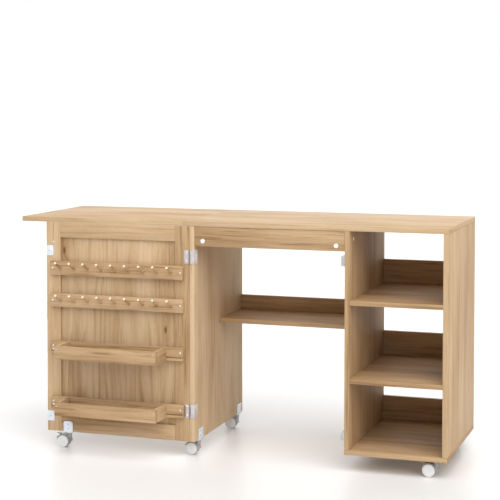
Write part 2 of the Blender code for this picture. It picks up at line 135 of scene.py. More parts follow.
class FittingSettings(PropertyGroup):
    """Screws, cam locks, strike plates, hinges and brackets."""

    screw: length("Screw head", "Radius of a screw's head", 0.0032)
    screw_high: length("Screw height", "Height of a screw's head", 0.0015)
    cam: length("Cam lock", "Radius of the cam locks", 0.0075)
    small_cam: length("Small cam lock", "Radius of the cam lock in the column", 0.0055)
    strike: length("Strike plate", "Thickness of the strike plates", 0.0012)
    steel: colour("Hinge steel", "Satin steel of the hinges", (0.66, 0.60, 0.59))
    zinc: colour("Bracket steel", "Zinc plated steel of brackets and plates", (0.80, 0.86, 0.93))
    screw_steel: colour("Screw steel", "Steel of the screws", (0.86, 0.83, 0.80))
    plastic: colour("White plastic", "Cam locks", (0.86, 0.84, 0.80))
    catch: colour("Catch plastic", "Housings of the magnetic catches", (0.55, 0.60, 0.63))


class CasterSettings(PropertyGroup):
    """The five twin-wheel casters."""

    sides: count("Sides", "Sides of a turned caster part", 48)
    tread: length("Tread", "Width of one wheel's tread", 0.0078)
    wall: length("Hood wall", "Thickness of the hood over the wheels", 0.0016)
    white: colour("Wheel white", "Wheel discs", (0.80, 0.80, 0.80))
    grey: colour("Hood grey", "Hood and tread", (0.36, 0.36, 0.35))


class StageSettings(PropertyGroup):
    """Camera, floor and light."""

    eye: spot("Camera place", "Where the camera stands", (1.49873, -4.35061, 1.16974))
    pitch: angle("Camera pitch", "Camera tilt below the horizon", math.radians(3))
    yaw: angle("Camera yaw", "Camera turn to the left", 0.3249)
    lens: amount("Lens", "Focal length in millimetres", 100.547)
    shift_x: amount("Shift X", "Sideways shift of the lens", -0.0060)
    shift_y: amount("Shift Y", "Upward shift of the lens", -0.1614)
    floor: colour("Floor", "Colour of the floor", (0.86, 0.855, 0.85))
    sky: amount("Surrounding light", "Light from the white surroundings", 0.38)
    key: amount("Key light", "Strength of the large soft light", 3.0)
    key_from: direction("Key side", "Where the soft light comes from", (0.45, -0.62, 0.95))
    back: amount("Back light", "Strength of the soft light from behind", 0.8)
    back_from: direction("Back side", "Where the light from behind comes from", (-0.45, 0.80, 0.55))
    softness: angle("Softness", "Angle that each soft light fills", math.radians(75))


SETTINGS = {
    "table_oak": OakSettings,
    "table_weave": WeaveSettings,
    "table_fittings": FittingSettings,
    "table_casters": CasterSettings,
    "table_stage": StageSettings,
}


# Shader expressions -----------------------


def using(operation):
    """An operator or method of a socket that adds one Math node."""
    return lambda socket, *others: socket.math(operation, socket, *others)


class Socket:
    """A node's output. Arithmetic on it adds Math nodes to the same material."""

    __add__ = __radd__ = using("ADD")
    __sub__ = using("SUBTRACT")
    __mul__ = __rmul__ = using("MULTIPLY")
    __truediv__ = using("DIVIDE")
    __pow__ = using("POWER")
    __gt__ = using("GREATER_THAN")
    __abs__ = using("ABSOLUTE")
    floor = using("FLOOR")
    sine = using("SINE")

    def __init__(self, finish, output):
        self.finish = finish
        self.output = output

    def __rsub__(self, other):
        return self.math("SUBTRACT", other, self)

    def math(self, operation, *values):
        inputs = dict(enumerate(values))
        return self.finish.node("ShaderNodeMath", {"operation": operation}, inputs)

    def held(self):
        """The value held between 0 and 1."""
        return self.finish.node("ShaderNodeClamp", {}, {"Value": self})

    def step(self, low, high):
        """A smooth step from 0 at low to 1 at high."""
        inputs = {"Value": self, "From Min": low, "From Max": high}
        return self.finish.node("ShaderNodeMapRange", {"interpolation_type": "SMOOTHSTEP"}, inputs)


class Finish:
    """One material: its shader's own settings, and the nodes that vary them over the surface."""

    def __init__(self, name, fixed):
        self.material = bpy.data.materials.new(name)
        self.material.use_nodes = True
        self.tree = self.material.node_tree
        self.shader = self.tree.nodes["Principled BSDF"]
        for socket, value in fixed.items():
            self.shader.inputs[socket].default_value = value

    def node(self, kind, settings, inputs, output=0):
        """Adds a node, settings first. Gives one output, or a list for a list of names."""
        made = self.tree.nodes.new(kind)
        for name, value in settings.items():
            if name == "stops":
                self.set_ramp(made.color_ramp, value)
            else:
                setattr(made, name, value)
        for name, value in inputs.items():
            if isinstance(value, Socket):
                self.tree.links.new(value.output, made.inputs[name])
            else:
                made.inputs[name].default_value = value
        if isinstance(output, (list, tuple)):
            return [Socket(self, made.outputs[name]) for name in output]
        return Socket(self, made.outputs[output])

    def set_ramp(self, ramp, stops):
        while len(ramp.elements) < len(stops):
            ramp.elements.new(0.5)
        for element, (position, shade) in zip(ramp.elements, stops):
            element.position = position
            element.color = (*shade, 1)

    def place(self, output="Object"):
        """The point on the piece, or with Normal its surface's direction, as X, Y and Z."""
        point = self.node("ShaderNodeTexCoord", {}, {}, output)
        return self.node("ShaderNodeSeparateXYZ", {}, {"Vector": point}, ("X", "Y", "Z"))

    def vector(self, x, y, z):
        return self.node("ShaderNodeCombineXYZ", {}, {"X": x, "Y": y, "Z": z})

    def noise(self, x, y, z, detail=2.0, roughness=0.5):
        point = self.vector(x, y, z)
        inputs = {"Vector": point, "Scale": 1.0, "Detail": detail, "Roughness": roughness}
        return self.node("ShaderNodeTexNoise", {}, inputs, "Fac")

    def speckle(self, scale, detail=2.0):
        """Noise of one scale in all directions."""
        return self.noise(*(axis * scale for axis in self.place()), detail)

    def blend(self, factor, first, second):
        """A number that runs from first to second."""
        return self.node("ShaderNodeMix", {"data_type": "FLOAT"}, {0: factor, 2: first, 3: second})

    def tint(self, factor, first, second):
        """A colour mixed from two, each a colour or another mix."""
        first, second = (c if isinstance(c, Socket) else (*c, 1) for c in (first, second))
        return self.node("ShaderNodeMix", {"data_type": "RGBA"}, {0: factor, 6: first, 7: second}, 2)

    def feed(self, socket, value):
        self.tree.links.new(value.output, self.shader.inputs[socket])

    def bump(self, height, depth, strength=1.0):
        inputs = {"Height": height, "Distance": depth, "Strength": strength}
        self.feed("Normal", self.node("ShaderNodeBump", {}, inputs))


# Finishes ---------------------------------


def oak_finish(name, grain, across, shift, tone_and_shade=0, figure=0.5, knots=0, streak=1):
    """Oak laminate. grain and across are axis numbers: the rings run along the first.

    shift moves the pattern so that boards differ, tone_and_shade darkens it (the board's own
    tone on most boards, painted shade on some and painted light on the side panel), figure is
    how far the rings arch, knots is the share of places that may have a knot, and streak is the
    strength of the fine dark lines.
    """
    oak = bpy.context.scene.table_oak
    wood = Finish(name, {"Roughness": 0.6, "Specular IOR Level": 0.14})
    place, facing = wood.place(), wood.place("Normal")
    third = 3 - grain - across
    cut_end = abs(facing[grain]) > 0.7
    along = wood.blend(cut_end, place[grain], place[across]) + shift
    side = wood.blend(cut_end, place[across], place[grain]) + place[third] + 0.37 * shift

    wander = wood.noise(along * 1.3, side * 5, shift) - 0.5
    near, cell = wood.node(
        "ShaderNodeTexVoronoi", {"voronoi_dimensions": "2D"},
        {"Vector": wood.vector(along * 3.4 + shift, side * 9.1, 0), "Scale": 1},
        ("Distance", "Color"),
    )
    lot = wood.node("ShaderNodeSeparateColor", {}, {"Color": cell}, "Red")
    knotted = lot > 1 - knots
    swirl = (1 - near.step(0.01, 0.30)) * knotted
    rings = side / oak.ring_width + wander * (0.8 + 5.5 * figure) + swirl * 1.1

    broad = wood.noise(rings * 0.55, along * 0.30, shift, detail=1)
    flame = wood.noise(side * 12 + wander * 2, along * 2.4, shift + 1)
    bands = wood.noise(rings * 2.6, along * 1.1, shift + 3, detail=4, roughness=0.65)
    streaks = wood.noise(side * 150, along * 6, shift + 6, detail=3, roughness=0.6)
    lines = streaks.step(0.48, 0.78) * (flame * 0.52 + 0.06) * streak
    arches = ((rings * (2 * math.pi)).sine() * 0.5 + 0.5) ** 4
    patch = wood.noise(along * 1.6, side * 8, shift + 9, detail=1).step(0.42, 0.72)
    fibre = wood.noise(along * 9, side * 420, shift, detail=3)
    pores = wood.noise(along * 40, side * 1500, shift, detail=1).step(0.60, 0.70)

    tone = 0.42 + (broad - 0.5) * 0.40 + (flame - 0.5) * (0.75 + 0.5 * figure)
    tone = tone + (bands - 0.5) * 0.60 + (fibre - 0.5) * 0.36
    tone = tone + lines + arches * patch * (0.05 + 0.38 * figure)
    # Board edges, the faces that look along the across axis, are a little paler: partly a paler edge,
    # partly painted highlight on the front edges, which the light catches.
    tone = tone + swirl * 0.30 + (tone_and_shade - (abs(facing[across]) > 0.7) * 0.05)
    ramp = [(0.10, oak.pale), (0.50, oak.middle), (1.00, oak.dark)]
    surface = wood.node("ShaderNodeValToRGB", {"stops": ramp}, {"Fac": tone.held()}, "Color")
    surface = wood.tint(pores * 0.30, surface, oak.dark)
    heart = (1 - near.step(0.015, 0.06)) * knotted
    wood.feed("Base Color", wood.tint(heart * 0.85, surface, oak.knot))
    wood.feed("Roughness", 0.52 + fibre * 0.10 + pores * 0.18)
    wood.bump(fibre * 0.35 - pores * 0.65, oak.relief, 0.7)
    return wood.material


def cut_end_finish(name):
    """The sawn ends of the pegs: paler than the boards, with open pores."""
    oak = bpy.context.scene.table_oak
    wood = Finish(name, {"Roughness": 0.6})
    speck = wood.speckle(1900)
    wood.feed("Base Color", wood.tint(speck.step(0.35, 0.75), oak.sawn, oak.pale))
    wood.bump(speck, 0.1 * MM, 0.5)
    return wood.material


def strand_finish(name, index_axis, run_axis):
    """Flat cane strands, each with a tone of its own that drifts along it."""
    weave = bpy.context.scene.table_weave
    cane = Finish(name, {"Roughness": 0.55, "Specular IOR Level": 0.3})
    place = cane.place()
    number = (place[index_axis] / weave.pitch).floor()
    own = cane.node("ShaderNodeTexWhiteNoise", {"noise_dimensions": "1D"}, {"W": number}, "Value")
    drift = cane.noise(place[run_axis] * 9, number * 3.7, 0)
    field = cane.noise(place[X] * 11, 0, place[Z] * 11, detail=1)
    fibre = cane.noise(place[index_axis] * 3800, place[run_axis] * 60, number, detail=1)
    tone = (own * 0.50 + drift * 0.75 + field * 0.35 + (fibre - 0.5) * 0.5 - 0.35).held()
    cane.feed("Base Color", cane.tint(tone, weave.dark, weave.pale))
    cane.feed("Roughness", 0.45 + fibre * 0.25)
    cane.bump(fibre, 0.1 * MM, 0.6)
    return cane.material


def darker(shade, share):
    return [channel * share for channel in shade]


def metal_finish(name, shade, roughness, brushed=None, metallic=0.85):
    """Steel with fine cloudiness, and with brush lines along one axis if it is given."""
    steel = Finish(name, {"Roughness": roughness, "Metallic": metallic})
    stretched = [point * (25 if axis == brushed else 900) for axis, point in enumerate(steel.place())]
    lines = steel.noise(*stretched)
    cloud = steel.speckle(60).step(0.3, 0.75)
    steel.feed("Base Color", steel.tint(cloud, shade, darker(shade, 0.86)))
    steel.feed("Roughness", roughness - 0.08 + lines * 0.16)
    steel.bump(lines, 0.04 * MM, 0.5)
    return steel.material


def plastic_finish(name, shade, roughness):
    """Moulded plastic: a fine spark-eroded grain and a slight flow of tone."""
    plastic = Finish(name, {"Roughness": roughness, "Coat Weight": 0.05})
    grain = plastic.speckle(2600, detail=1)
    flow = plastic.speckle(45).step(0.25, 0.8)
    plastic.feed("Base Color", plastic.tint(flow, shade, darker(shade, 0.93)))
    plastic.feed("Roughness", roughness - 0.05 + grain * 0.12)
    plastic.bump(grain, 0.03 * MM, 0.6)
    return plastic.material


# Modelling --------------------------------


def make_active(piece):
    bpy.ops.object.select_all(action="DESELECT")
    piece.select_set(True)
    bpy.context.view_layer.objects.active = piece


@contextmanager
def editing(piece):
    """Edit mode on one piece, with everything selected."""
    make_active(piece)
    bpy.ops.object.mode_set(mode="EDIT")
    bpy.ops.mesh.select_mode(type="FACE")
    bpy.ops.mesh.select_all(action="SELECT")
    yield
    bpy.ops.object.mode_set(mode="OBJECT")


def choose(piece, test, kind="FACE"):
    """In edit mode, selects the faces, edges or vertices that pass the test."""
    bpy.ops.mesh.select_mode(type=kind)
    bpy.ops.mesh.select_all(action="DESELECT")
    mesh = bmesh.from_edit_mesh(piece.data)
    parts = {"FACE": mesh.faces, "EDGE": mesh.edges, "VERT": mesh.verts}[kind]
    chosen = [part for part in parts if test(part)]
    if not chosen:
        raise RuntimeError(f"nothing to choose on {piece.name}")
    for part in chosen:
        part.select_set(True)
    bmesh.update_edit_mesh(piece.data)


def face_outwards():
    bpy.ops.mesh.select_all(action="SELECT")
    bpy.ops.mesh.normals_make_consistent(inside=False)


def edge_run(edge):
    """An edge's length along each axis."""
    first, second = (vert.co for vert in edge.verts)
    return Vector([abs(step) for step in second - first])


def in_place(piece):
    """Puts the piece's place, turn and scale into its mesh."""
    make_active(piece)
    bpy.ops.object.transform_apply(location=True, rotation=True, scale=True)
    return piece


def moved(piece, matrix):
    piece.matrix_world = matrix
    return in_place(piece)


def added(name, add, **settings):
    """The new primitive, named, with its scale applied."""
    bpy.ops.object.select_all(action="DESELECT")
    add(**settings)
    piece = bpy.context.object
    piece.name = piece.data.name = name
    return in_place(piece)


def block(name, low, high):
    low, high = Vector(low), Vector(high)
    return added(
        name, bpy.ops.mesh.primitive_cube_add, size=1, location=(low + high) / 2, scale=high - low
    )


def turned(name, stations, sides):
    """A round piece on +Z: a disc extruded and scaled from one (radius, height) to the next."""
    (radius, height), *rest = stations
    piece = added(
        name, bpy.ops.mesh.primitive_circle_add,
        vertices=sides, radius=radius, location=(0, 0, height), fill_type="NGON",
    )
    with editing(piece):
        for next_radius, next_height in rest:
            rise = {"value": (0, 0, next_height - height)}
            bpy.ops.mesh.extrude_region_move(TRANSFORM_OT_translate=rise)
            ratio = next_radius / radius
            bpy.ops.transform.resize(value=(ratio, ratio, 1), center_override=(0, 0, next_height))
            radius, height = next_radius, next_height
        face_outwards()
    return piece


def modified(piece, kind, **settings):
    """The piece with one modifier applied."""
    make_active(piece)
    modifier = piece.modifiers.new(kind.lower(), kind)
    for name, value in settings.items():
        setattr(modifier, name, value)
    bpy.ops.object.modifier_apply(modifier=modifier.name)
    return piece


def softened(piece, width, segments=2, limit=35):
    """The piece with its edges rounded where they turn by more than limit degrees."""
    return modified(
        piece, "BEVEL", width=width, segments=segments,
        limit_method="ANGLE", angle_limit=math.radians(limit),
    )


def cut(piece, *cutters):
    """The piece with the cutters' shapes taken out of it. The cutters go away."""
    for cutter in cutters:
        modified(piece, "BOOLEAN", object=cutter, operation="DIFFERENCE", solver="EXACT")
        bpy.data.objects.remove(cutter)
    return piece


def cross(reach, half, low, high):
    """Two bars that cut a cross recess from one height to another."""
    sizes = ((reach, half), (half, reach))
    return [block("bar", (-x, -y, low), (x, y, high)) for x, y in sizes]


def joined(name, pieces):
    """One piece of several separate solids."""
    make_active(pieces[0])
    for piece in pieces:
        piece.select_set(True)
    bpy.ops.object.join()
    piece = bpy.context.object
    piece.name = piece.data.name = name
    return in_place(piece)


def aimed(at, facing, spin=0.0):
    """The matrix that brings a piece modelled on +Z to a place, facing a direction."""
    turn = Vector(facing).to_track_quat("Z", "Y").to_matrix().to_4x4()
    return Matrix.Translation(at) @ turn @ Matrix.Rotation(spin, 4, "Z")


def linked(name, mesh):
    piece = bpy.data.objects.new(name, mesh)
    bpy.context.scene.collection.objects.link(piece)
    return piece


def copied(name, model, matrices):
    """Copies of one model, each with its own mesh, as one piece. The model goes away."""
    copies = []
    for matrix in matrices:
        copy = linked(name, model.data.copy())
        copy.matrix_world = matrix
        copies.append(copy)
    bpy.data.objects.remove(model)
    return joined(name, copies)


def from_frame(node, name):
    """A copy of a CAD node with its loose triangles merged and its flat faces made whole."""
    piece = linked(name, frame["nodes"][node].data.copy())
    piece.data.materials.clear()
    with editing(piece):
        bpy.ops.mesh.customdata_custom_splitnormals_clear()
        bpy.ops.mesh.remove_doubles(threshold=0.01 * MM)
        bpy.ops.mesh.dissolve_limited(angle_limit=math.radians(0.5))
    return piece


def painted(piece, finish, test):
    """Gives the faces that pass the test another material."""
    piece.data.materials.append(finish)
    with editing(piece):
        choose(piece, test)
        piece.active_material_index = len(piece.data.materials) - 1
        bpy.ops.object.material_slot_assign()
    return piece


def fitted(piece, body, finish=None, replaces=(), smooth=32):
    """The last steps of every piece: place applied, shading, material and body."""
    in_place(piece)
    bpy.ops.object.shade_smooth_by_angle(angle=math.radians(smooth))
    if finish:
        piece.data.materials.clear()
        piece.data.materials.append(finish)
    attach(piece, body)
    if replaces:
        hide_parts(*replaces)


def middle_and_box(node):
    low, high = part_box(node)
    return (low + high) / 2, low, high


def ends(low, high, inset):
    """The two places on X that lie the same distance inside a box."""
    return low.x + inset, high.x - inset


def body_of(node):
    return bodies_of(frame["nodes"][node])[0]


# Boards -----------------------------------

LEVELS = ("lower", "upper")
UPRIGHT = (
    "side_panel", "partition", "right_panel", "door_stile_free", "door_stile_hinge", "door_panel",
)
LENGTHWISE = (
    "worktop", "drop_leaf", "apron", "bay_shelf", "bay_shelf_back", "bottom_board",
    "column_shelf_lower", "column_shelf_upper",
    "column_back_bottom", "column_back_lower", "column_back_upper",
    "door_rail_top", "door_rail_bottom",
    *(f"tray_{level}_{part}" for level in LEVELS for part in ("back", "front", "floor")),
)
CROSSWISE = tuple(f"tray_{level}_{side}" for level in LEVELS for side in ("left", "right"))
GRAIN = {**dict.fromkeys(LENGTHWISE, X), **dict.fromkeys(CROSSWISE, Y), **dict.fromkeys(UPRIGHT, Z)}

# Each board's tone and painted shade, figure, knots and streak, as oak_finish takes them.
# The first number is the board's own tone on most boards, painted shade on the apron,
# shelves, bottom board and tray floors, and painted light on the side panel.
PLAIN = (0, 0.4, 0, 1)
LOOKS = {
    "worktop": (-0.11, 0.25, 0, 1),
    "drop_leaf": (-0.02, 0.35, 0, 1),
    "door_panel": (-0.13, 1.2, 0.40, 1),
    "door_stile_free": (-0.16, 0.5, 0.10, 1),
    "door_stile_hinge": (0.08, 0.7, 0.15, 1),
    "door_rail_bottom": (0.02, 0.9, 0, 1),
    # painted light: the side panel, which the worktop and column shade, is made paler
    "side_panel": (-0.27, 0.5, 0.12, 1),
    "right_panel": (-0.06, 0.3, 0, 1),
    # painted shade: the apron under the worktop is darker
    "apron": (0.12, 0.4, 0.10, 1.5),
    # painted shade: the shelves, their back strip and the bottom board inside the cabinet are darker
    "bay_shelf": (0.22, 0.3, 0, 1),
    "bay_shelf_back": (0.28, 0.3, 0, 1),
    "column_shelf_upper": (0.25, 0.3, 0, 1),
    "column_shelf_lower": (0.25, 0.3, 0, 1),
    "bottom_board": (0.22, 0.3, 0, 1),
    "tray_upper_front": (0.10, 0.3, 0, 1.7),
    "tray_lower_front": (0.08, 0.3, 0, 1.7),
    "tray_upper_back": (0.12, 0.3, 0, 1.7),
    "tray_lower_back": (0.12, 0.3, 0, 1.7),
    # painted shade: the floors inside the trays are darker
    "tray_upper_floor": (0.30, 0.3, 0, 1),
    "tray_lower_floor": (0.30, 0.3, 0, 1),
}
PATTERN_STEP = 1.83


def oak_for(node, number):
    """A board's own oak: its rings run along its grain and show on its widest face."""
    low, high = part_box(node)
    sizes = high - low
    grain = GRAIN[node]
    across = max((axis for axis in (X, Y, Z) if axis != grain), key=lambda axis: sizes[axis])
    look = LOOKS.get(node, PLAIN)
    return oak_finish(f"oak_{node}", grain, across, PATTERN_STEP * number, *look)


class SEWING_OT_boards(Operator):
    """Soften the edges of the boards and give each its oak laminate"""

    bl_idname = "sewing.boards"
    bl_label = "Oak boards"

    def execute(self, context):
        edge = context.scene.table_oak.edge
        for number, node in enumerate(sorted(GRAIN)):
            board = softened(from_frame(node, f"{node}_board"), edge)
            fitted(board, body_of(node), oak_for(node, number), [node])
        self.gap_shade_strip()
        return {"FINISHED"}

    def gap_shade_strip(self):
        """A thin strip of darker oak on the door's top edge, put in as painted shade: it stands for
        the shadow line in the gap under the leaf, and nearly closes that gap.
        """
        left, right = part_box("door_stile_free")[0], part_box("door_stile_hinge")[1]
        low = (left.x + 0.2 * MM, left.y + 0.02 * MM, right.z - 0.5 * MM)
        high = (right.x - 0.2 * MM, left.y + 0.26 * MM, right.z + 0.41 * MM)
        shade_strip = softened(block("door_edge_band", low, high), 0.05 * MM)
        fitted(shade_strip, "door", oak_finish("oak_edge_band", X, Y, 9.7, tone_and_shade=0.2))


# Racks ------------------------------------

RACK_HEIGHTS = {"upper": 45 * MM, "lower": 43 * MM}
PEG_COUNT, PEG_PITCH, PEG_TILT = 9, 49.2 * MM, math.radians(27)
PEG_RADIUS, PEG_LENGTH, PEG_ROOT = 4.5 * MM, 46 * MM, 6 * MM
STRIP_THICK = 14 * MM


def rack_strip(level):
    """The box of a rack's strip without its pegs."""
    low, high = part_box(f"peg_rack_{level}")
    face = high.y - STRIP_THICK
    return Vector((low.x, face, low.z)), Vector((high.x, high.y, low.z + RACK_HEIGHTS[level]))


def peg_model():
    """A peg on +Z with a rounded tip. It starts inside the strip."""
    return turned("peg", [
        (PEG_RADIUS, -PEG_ROOT), (PEG_RADIUS, PEG_LENGTH - 1.4 * MM),
        (PEG_RADIUS - 0.4 * MM, PEG_LENGTH - 0.5 * MM), (PEG_RADIUS - 1.2 * MM, PEG_LENGTH),
    ], 20)


class SEWING_OT_racks(Operator):
    """Model the two peg racks: a strip and nine rounded pegs each"""

    bl_idname = "sewing.racks"
    bl_label = "Peg racks"

    def execute(self, context):
        oak = context.scene.table_oak
        ends = cut_end_finish("peg_end_grain")
        aim = Vector((0, -math.cos(PEG_TILT), math.sin(PEG_TILT)))
        for number, level in enumerate(RACK_HEIGHTS):
            node = f"peg_rack_{level}"
            low, high = rack_strip(level)
            strip = softened(block(f"{node}_strip", low, high), oak.edge, 3)
            wood = oak_finish(f"oak_rack_{level}", X, Z, 5.1 + number, figure=0.6, streak=1.9)
            fitted(strip, "door", wood, [node])

            middle = Vector(((low.x + high.x) / 2, low.y, (low.z + high.z) / 2))
            offsets = [(place - (PEG_COUNT - 1) / 2) * PEG_PITCH for place in range(PEG_COUNT)]
            places = [aimed(middle + RIGHT * offset, aim) for offset in offsets]
            pegs = copied(f"{node}_pegs", peg_model(), places)
            wood = oak_finish(f"oak_pegs_{level}", Y, Z, 7.3 + number, figure=0.2, tone_and_shade=0.15)
            pegs.data.materials.append(wood)
            tip = (middle + aim * PEG_LENGTH) @ aim
            painted(pegs, ends, lambda face: face.calc_center_median() @ aim > tip - 0.7 * MM)
            fitted(pegs, "door", replaces=[node])
        return {"FINISHED"}


# Woven panel ------------------------------

STRAND_GAP, SIDE_THINNESS = 0.06 * MM, 0.25


def strand(name, weave, reach, lift):
    """A flat strand along +X from 0, thin at its sides, that goes over and under each pitch."""
    pitch, half, thick = weave.pitch, weave.strand / 2, weave.thick
    crossings = round(reach / pitch)
    piece = block(name, (0, -half, -thick / 2), (crossings * pitch, half, thick / 2))
    with editing(piece):
        choose(piece, lambda edge: edge_run(edge).y > half, "EDGE")
        bpy.ops.mesh.subdivide(number_cuts=1)
        choose(piece, lambda vert: abs(vert.co.y) > half / 2, "VERT")
        bpy.ops.transform.resize(value=(1, 1, SIDE_THINNESS), center_override=(0, 0, 0))
        choose(piece, lambda edge: edge_run(edge).x > pitch, "EDGE")
        bpy.ops.mesh.subdivide(number_cuts=crossings - 1)
        for parity, rise in ((0, lift), (1, -lift)):
            choose(piece, lambda vert: round(vert.co.x / pitch) % 2 == parity, "VERT")
            bpy.ops.transform.translate(value=(0, 0, rise))
    return piece


class SEWING_OT_weave(Operator):
    """Weave the panel on the outside of the door from flat cane strands"""

    bl_idname = "sewing.weave"
    bl_label = "Woven panel"

    def execute(self, context):
        weave = context.scene.table_weave
        middle, low, high = middle_and_box("rattan_panel")
        size, pitch = high - low, weave.pitch
        wave = weave.thick / 2 + STRAND_GAP
        ways = {
            "warp": (size.z, size.x, UP, RIGHT, X, Z, wave),
            "weft": (size.x, size.z, RIGHT, UP, Z, X, -wave),
        }
        for way, (reach, spread, run, step, index_axis, run_axis, first_wave) in ways.items():
            crossings, strands = round(reach / pitch), round(spread / pitch)
            start = middle - run * (crossings * pitch / 2) - step * ((strands - 1) * pitch / 2)
            across = run.cross(step).normalized()
            rows = []
            for parity, lift in ((0, first_wave), (1, -first_wave)):
                first = strand(f"{way}_{parity}", weave, reach, lift)
                turn = Matrix((run, across.cross(run), across)).transposed().to_4x4()
                moved(first, Matrix.Translation(start + step * (parity * pitch)) @ turn)
                rows.append(modified(
                    first, "ARRAY", count=(strands + 1 - parity) // 2, use_relative_offset=False,
                    use_constant_offset=True, constant_offset_displace=step * (2 * pitch),
                ))
            finish = strand_finish(f"cane_{way}", index_axis, run_axis)
            woven = joined(f"woven_{way}", rows)
            fitted(woven, "door", finish, ["rattan_panel"], smooth=60)
        return {"FINISHED"}


# Fittings ---------------------------------

BARREL_RADIUS, HINGE_THICK = 2.2 * MM, 1.2 * MM
HINGE_INSET, HINGE_SPREAD = 7 * MM, (-14 * MM, 14 * MM)
DOOR_DROPS, SIDE_DROPS = (10 * MM, 25 * MM), (7.5 * MM, 20 * MM)  # from a bracket's top
SIDE_SPREAD = (-11.5 * MM, 11.5 * MM)
STRIKE_WIDE, STRIKE_TALL, STRIKE_GAP = 25 * MM, 34 * MM, 0.3 * MM
CAM_INSET, CAM_TURN = 28 * MM, 0.6
RECESS_TURN, RECESS_STEP = 0.5, 1.1


def screw_model(fittings, steel, recess):
    """A domed head with a cross recess, standing on the surface that it holds. Painted shade darkens
    the recess.
    """
    radius, high = fittings.screw, fittings.screw_high
    profile = [(0.92, -0.2), (1, 0.1), (1, 0.35), (0.88, 0.7), (0.62, 0.93), (0.25, 1)]
    head = turned("screw", [(share * radius, rise * high) for share, rise in profile], 24)
    reach, half = radius * 0.62, radius * 0.15
    cut(head, *cross(reach, half, 0.30 * high, 2 * high))
    head.data.materials.append(steel)

    def in_shaded_recess(face):
        centre = face.calc_center_median()
        return centre.to_2d().length < reach and 0.1 * high < centre.z < 0.9 * high

    return painted(head, recess, in_shaded_recess)


def screw_spots():
    """The matrices of the screws' places, by body. The recesses are turned one by one."""
    spots = {"door": [], "cabinet": [], "leaf": []}

    def row(body, facing, places):
        for number, place in enumerate(places):
            spin = RECESS_TURN + RECESS_STEP * (number + len(spots[body]))
            spots[body].append(aimed(place, facing, spin))

    for level in reversed(LEVELS):
        low, high = rack_strip(level)
        z = (low.z + high.z) / 2
        row("door", FRONT, [(x, low.y, z) for x in ends(low, high, 9 * MM)])
        middle, low, high = middle_and_box(f"tray_{level}_back")
        left, right = ends(low, high, 10 * MM)
        row("door", FRONT, [(x, low.y, middle.z + 5 * MM) for x in (left, right)])
        row("door", FRONT, [(left, low.y, middle.z - 6 * MM)])
        middle, low, high = middle_and_box(f"tray_{level}_front")
        sunk, z = low.y + 1.3 * MM, high.z - 11 * MM
        row("door", FRONT, [(x, sunk, z) for x in ends(low, high, 8 * MM)])

        middle, low, high = middle_and_box(f"door_hinge_{level}_moving")
        x, y = low.x + HINGE_INSET, high.y - HINGE_THICK
        row("door", FRONT, [(x, y, middle.z + step) for step in HINGE_SPREAD])
        middle, low, high = middle_and_box(f"door_hinge_{level}_fixed")
        row("cabinet", RIGHT, [(high.x, high.y - 11 * MM, middle.z + step) for step in HINGE_SPREAD])

    middle, low, high = middle_and_box("caster_door_bracket")
    for facing, y in ((FRONT, low.y), (REAR, high.y)):
        row("door", facing, [(middle.x, y, high.z - drop) for drop in DOOR_DROPS])
    for place in ("side_front", "side_rear"):
        middle, low, high = middle_and_box(f"caster_{place}_bracket")
        for z in (high.z - drop for drop in SIDE_DROPS):
            row("cabinet", RIGHT, [(high.x, middle.y + step, z) for step in SIDE_SPREAD])

    knob = middle_and_box("door_knob")[0]
    row("door", FRONT, [(knob.x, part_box("door_stile_free")[0].y, knob.z)])
    for low, high in strike_boxes():
        row("door", FRONT, [((low.x + high.x) / 2, low.y, (low.z + high.z) / 2)])

    for end in ("front", "rear"):
        for half, body in (("fixed", "cabinet"), ("moving", "leaf")):
            middle, low, high = middle_and_box(f"leaf_hinge_{end}_{half}")
            x = low.x + HINGE_INSET if half == "moving" else high.x - HINGE_INSET
            z = high.z - HINGE_THICK
            row(body, DOWN, [(x, middle.y + step, z) for step in HINGE_SPREAD])
    return spots


def strike_boxes():
    """The boxes of the door's two strike plates, which meet the catches when it is folded in."""
    thick = bpy.context.scene.table_fittings.strike
    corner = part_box("door_stile_free")[0]
    left, back = corner.x + 0.5 * MM, corner.y - STRIKE_GAP
    boxes = []
    for level, shift in (("lower", -7.5 * MM), ("upper", -MM)):
        bottom = middle_and_box(f"catch_{level}")[0].z + shift - STRIKE_TALL / 2
        low = Vector((left, back - thick, bottom))
        boxes.append((low, Vector((left + STRIKE_WIDE, back, bottom + STRIKE_TALL))))
    return boxes


class SEWING_OT_screws(Operator):
    """Put a cross-head screw in every hinge, bracket, rack and tray"""

    bl_idname = "sewing.screws"
    bl_label = "Screws"

    def execute(self, context):
        fittings = context.scene.table_fittings
        steel = metal_finish("screw_steel", fittings.screw_steel, 0.28)
        # painted shade: the cross recesses get a dark steel
        recess = metal_finish("screw_recess", darker(fittings.screw_steel, 0.4), 0.5)
        for body, matrices in screw_spots().items():
            screws = copied(f"screws_{body}", screw_model(fittings, steel, recess), matrices)
            fitted(screws, body)
        return {"FINISHED"}


